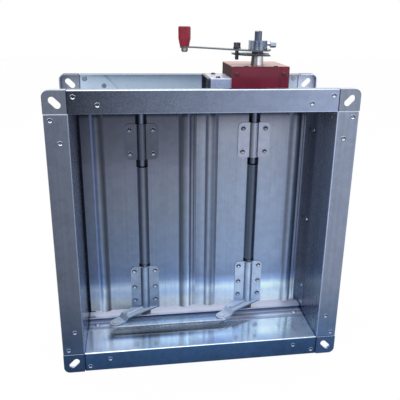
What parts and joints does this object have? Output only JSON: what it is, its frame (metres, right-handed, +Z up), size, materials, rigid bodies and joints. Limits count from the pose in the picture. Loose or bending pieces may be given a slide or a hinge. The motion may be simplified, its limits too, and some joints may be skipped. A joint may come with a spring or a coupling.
{
  "type": "air volume control damper",
  "caption": "Flanged rectangular duct damper whose linked vertical blades turn together by a hand lever that locks on a quadrant.",
  "frame": {"origin": "on the floor, under the middle of the casing", "axes": "+Z up along the blade shafts, +X along the width towards the driven blade, +Y along the air flow from the front flange to the back one"},
  "size_m": [0.47, 0.21, 0.5546],
  "materials": {
    "galvanised": "galvanised sheet, satin",
    "stand_steel": "galvanised sheet, satin",
    "zinc_plate": "bright zinc plating",
    "bright_bar": "drawn bar, zinc plated",
    "bush_plastic": "dark grey plastic",
    "dark_steel": "blackened steel",
    "red_paint": "gloss crimson paint",
    "red_plastic": "gloss crimson plastic"
  },
  "bodies": {
    "casing": {"casing_bottom": "galvanised", "casing_top": "galvanised", "casing_left": "galvanised", "casing_right": "galvanised", "corner_front_bottom_left": "galvanised", "corner_front_bottom_right": "galvanised", "corner_front_top_right": "galvanised", "corner_front_top_left": "galvanised", "corner_back_bottom_right": "galvanised", "corner_back_bottom_left": "galvanised", "corner_back_top_left": "galvanised", "corner_back_top_right": "galvanised", "front_flange_clinches": "zinc_plate", "back_flange_clinches": "zinc_plate", "floor_sill": "galvanised", "ceiling_sill": "galvanised", "sill_screws": "zinc_plate", "side_seal_right": "galvanised", "side_seal_left": "galvanised", "seal_rivets": "zinc_plate", "bottom_bush_idle": "bush_plastic", "top_bush_idle": "bush_plastic", "bottom_bush_drive": "bush_plastic", "top_bush_drive": "bush_plastic", "actuator_stand": "stand_steel", "stand_brace": "stand_steel", "stand_screws": "dark_steel", "cover_shell": "red_paint", "cover_front_plate": "red_paint", "cover_screws": "zinc_plate", "neck_bush": "zinc_plate", "quadrant_plate": "zinc_plate"},
    "drive_blade": {"blade_drive": "galvanised", "saddle_drive": "zinc_plate", "crank_drive": "zinc_plate", "saddle_rivets_drive": "zinc_plate", "crank_rivets_drive": "zinc_plate", "lower_shaft_drive": "bright_bar", "upper_shaft_drive": "bright_bar", "link_pin_drive": "zinc_plate", "friction_washer": "dark_steel", "lever": "zinc_plate", "handle_hub": "zinc_plate", "set_screw": "zinc_plate", "lock_washer": "zinc_plate", "knob_rivet": "zinc_plate", "shaft_collar": "zinc_plate", "collar_screw": "zinc_plate"},
    "idle_blade": {"blade_idle": "galvanised", "saddle_idle": "zinc_plate", "crank_idle": "zinc_plate", "saddle_rivets_idle": "zinc_plate", "crank_rivets_idle": "zinc_plate", "lower_shaft_idle": "bright_bar", "upper_shaft_idle": "bright_bar", "link_pin_idle": "zinc_plate", "shaft_cap_idle": "zinc_plate"},
    "link": {"link_bar": "zinc_plate"},
    "lock": {"lock_bolt": "dark_steel"},
    "knob": {"knob_grip": "red_plastic"}
  },
  "joints": [
    {"name": "drive_blade_turn", "type": "hinge", "parent": "casing", "child": "drive_blade", "pos_m": [0.096, 0, 0.235], "axis": [0, 0, 1], "range_deg": [0, 90]},
    {"name": "idle_blade_turn", "type": "hinge", "parent": "casing", "child": "idle_blade", "pos_m": [-0.096, 0, 0.235], "axis": [0, 0, 1], "range_deg": [0, 90]},
    {"name": "link_pivot", "type": "hinge", "parent": "drive_blade", "child": "link", "pos_m": [0.04121, -0.03751, 0.0442], "axis": [0, 0, 1], "range_deg": [-90, 0]},
    {"name": "lock_bolt_turn", "type": "hinge", "parent": "drive_blade", "child": "lock", "pos_m": [0.0615, 0, 0.52], "axis": [0, 0, 1], "range_deg": [0, 180]},
    {"name": "knob_spin", "type": "hinge", "parent": "drive_blade", "child": "knob", "pos_m": [-0.024, 0, 0.535], "axis": [0, 0, 1], "continuous": true}
  ],
  "couplings": [
    {"joint": "idle_blade_turn", "follows": "drive_blade_turn", "ratio": 1},
    {"joint": "link_pivot", "follows": "drive_blade_turn", "ratio": -1}
  ]
}
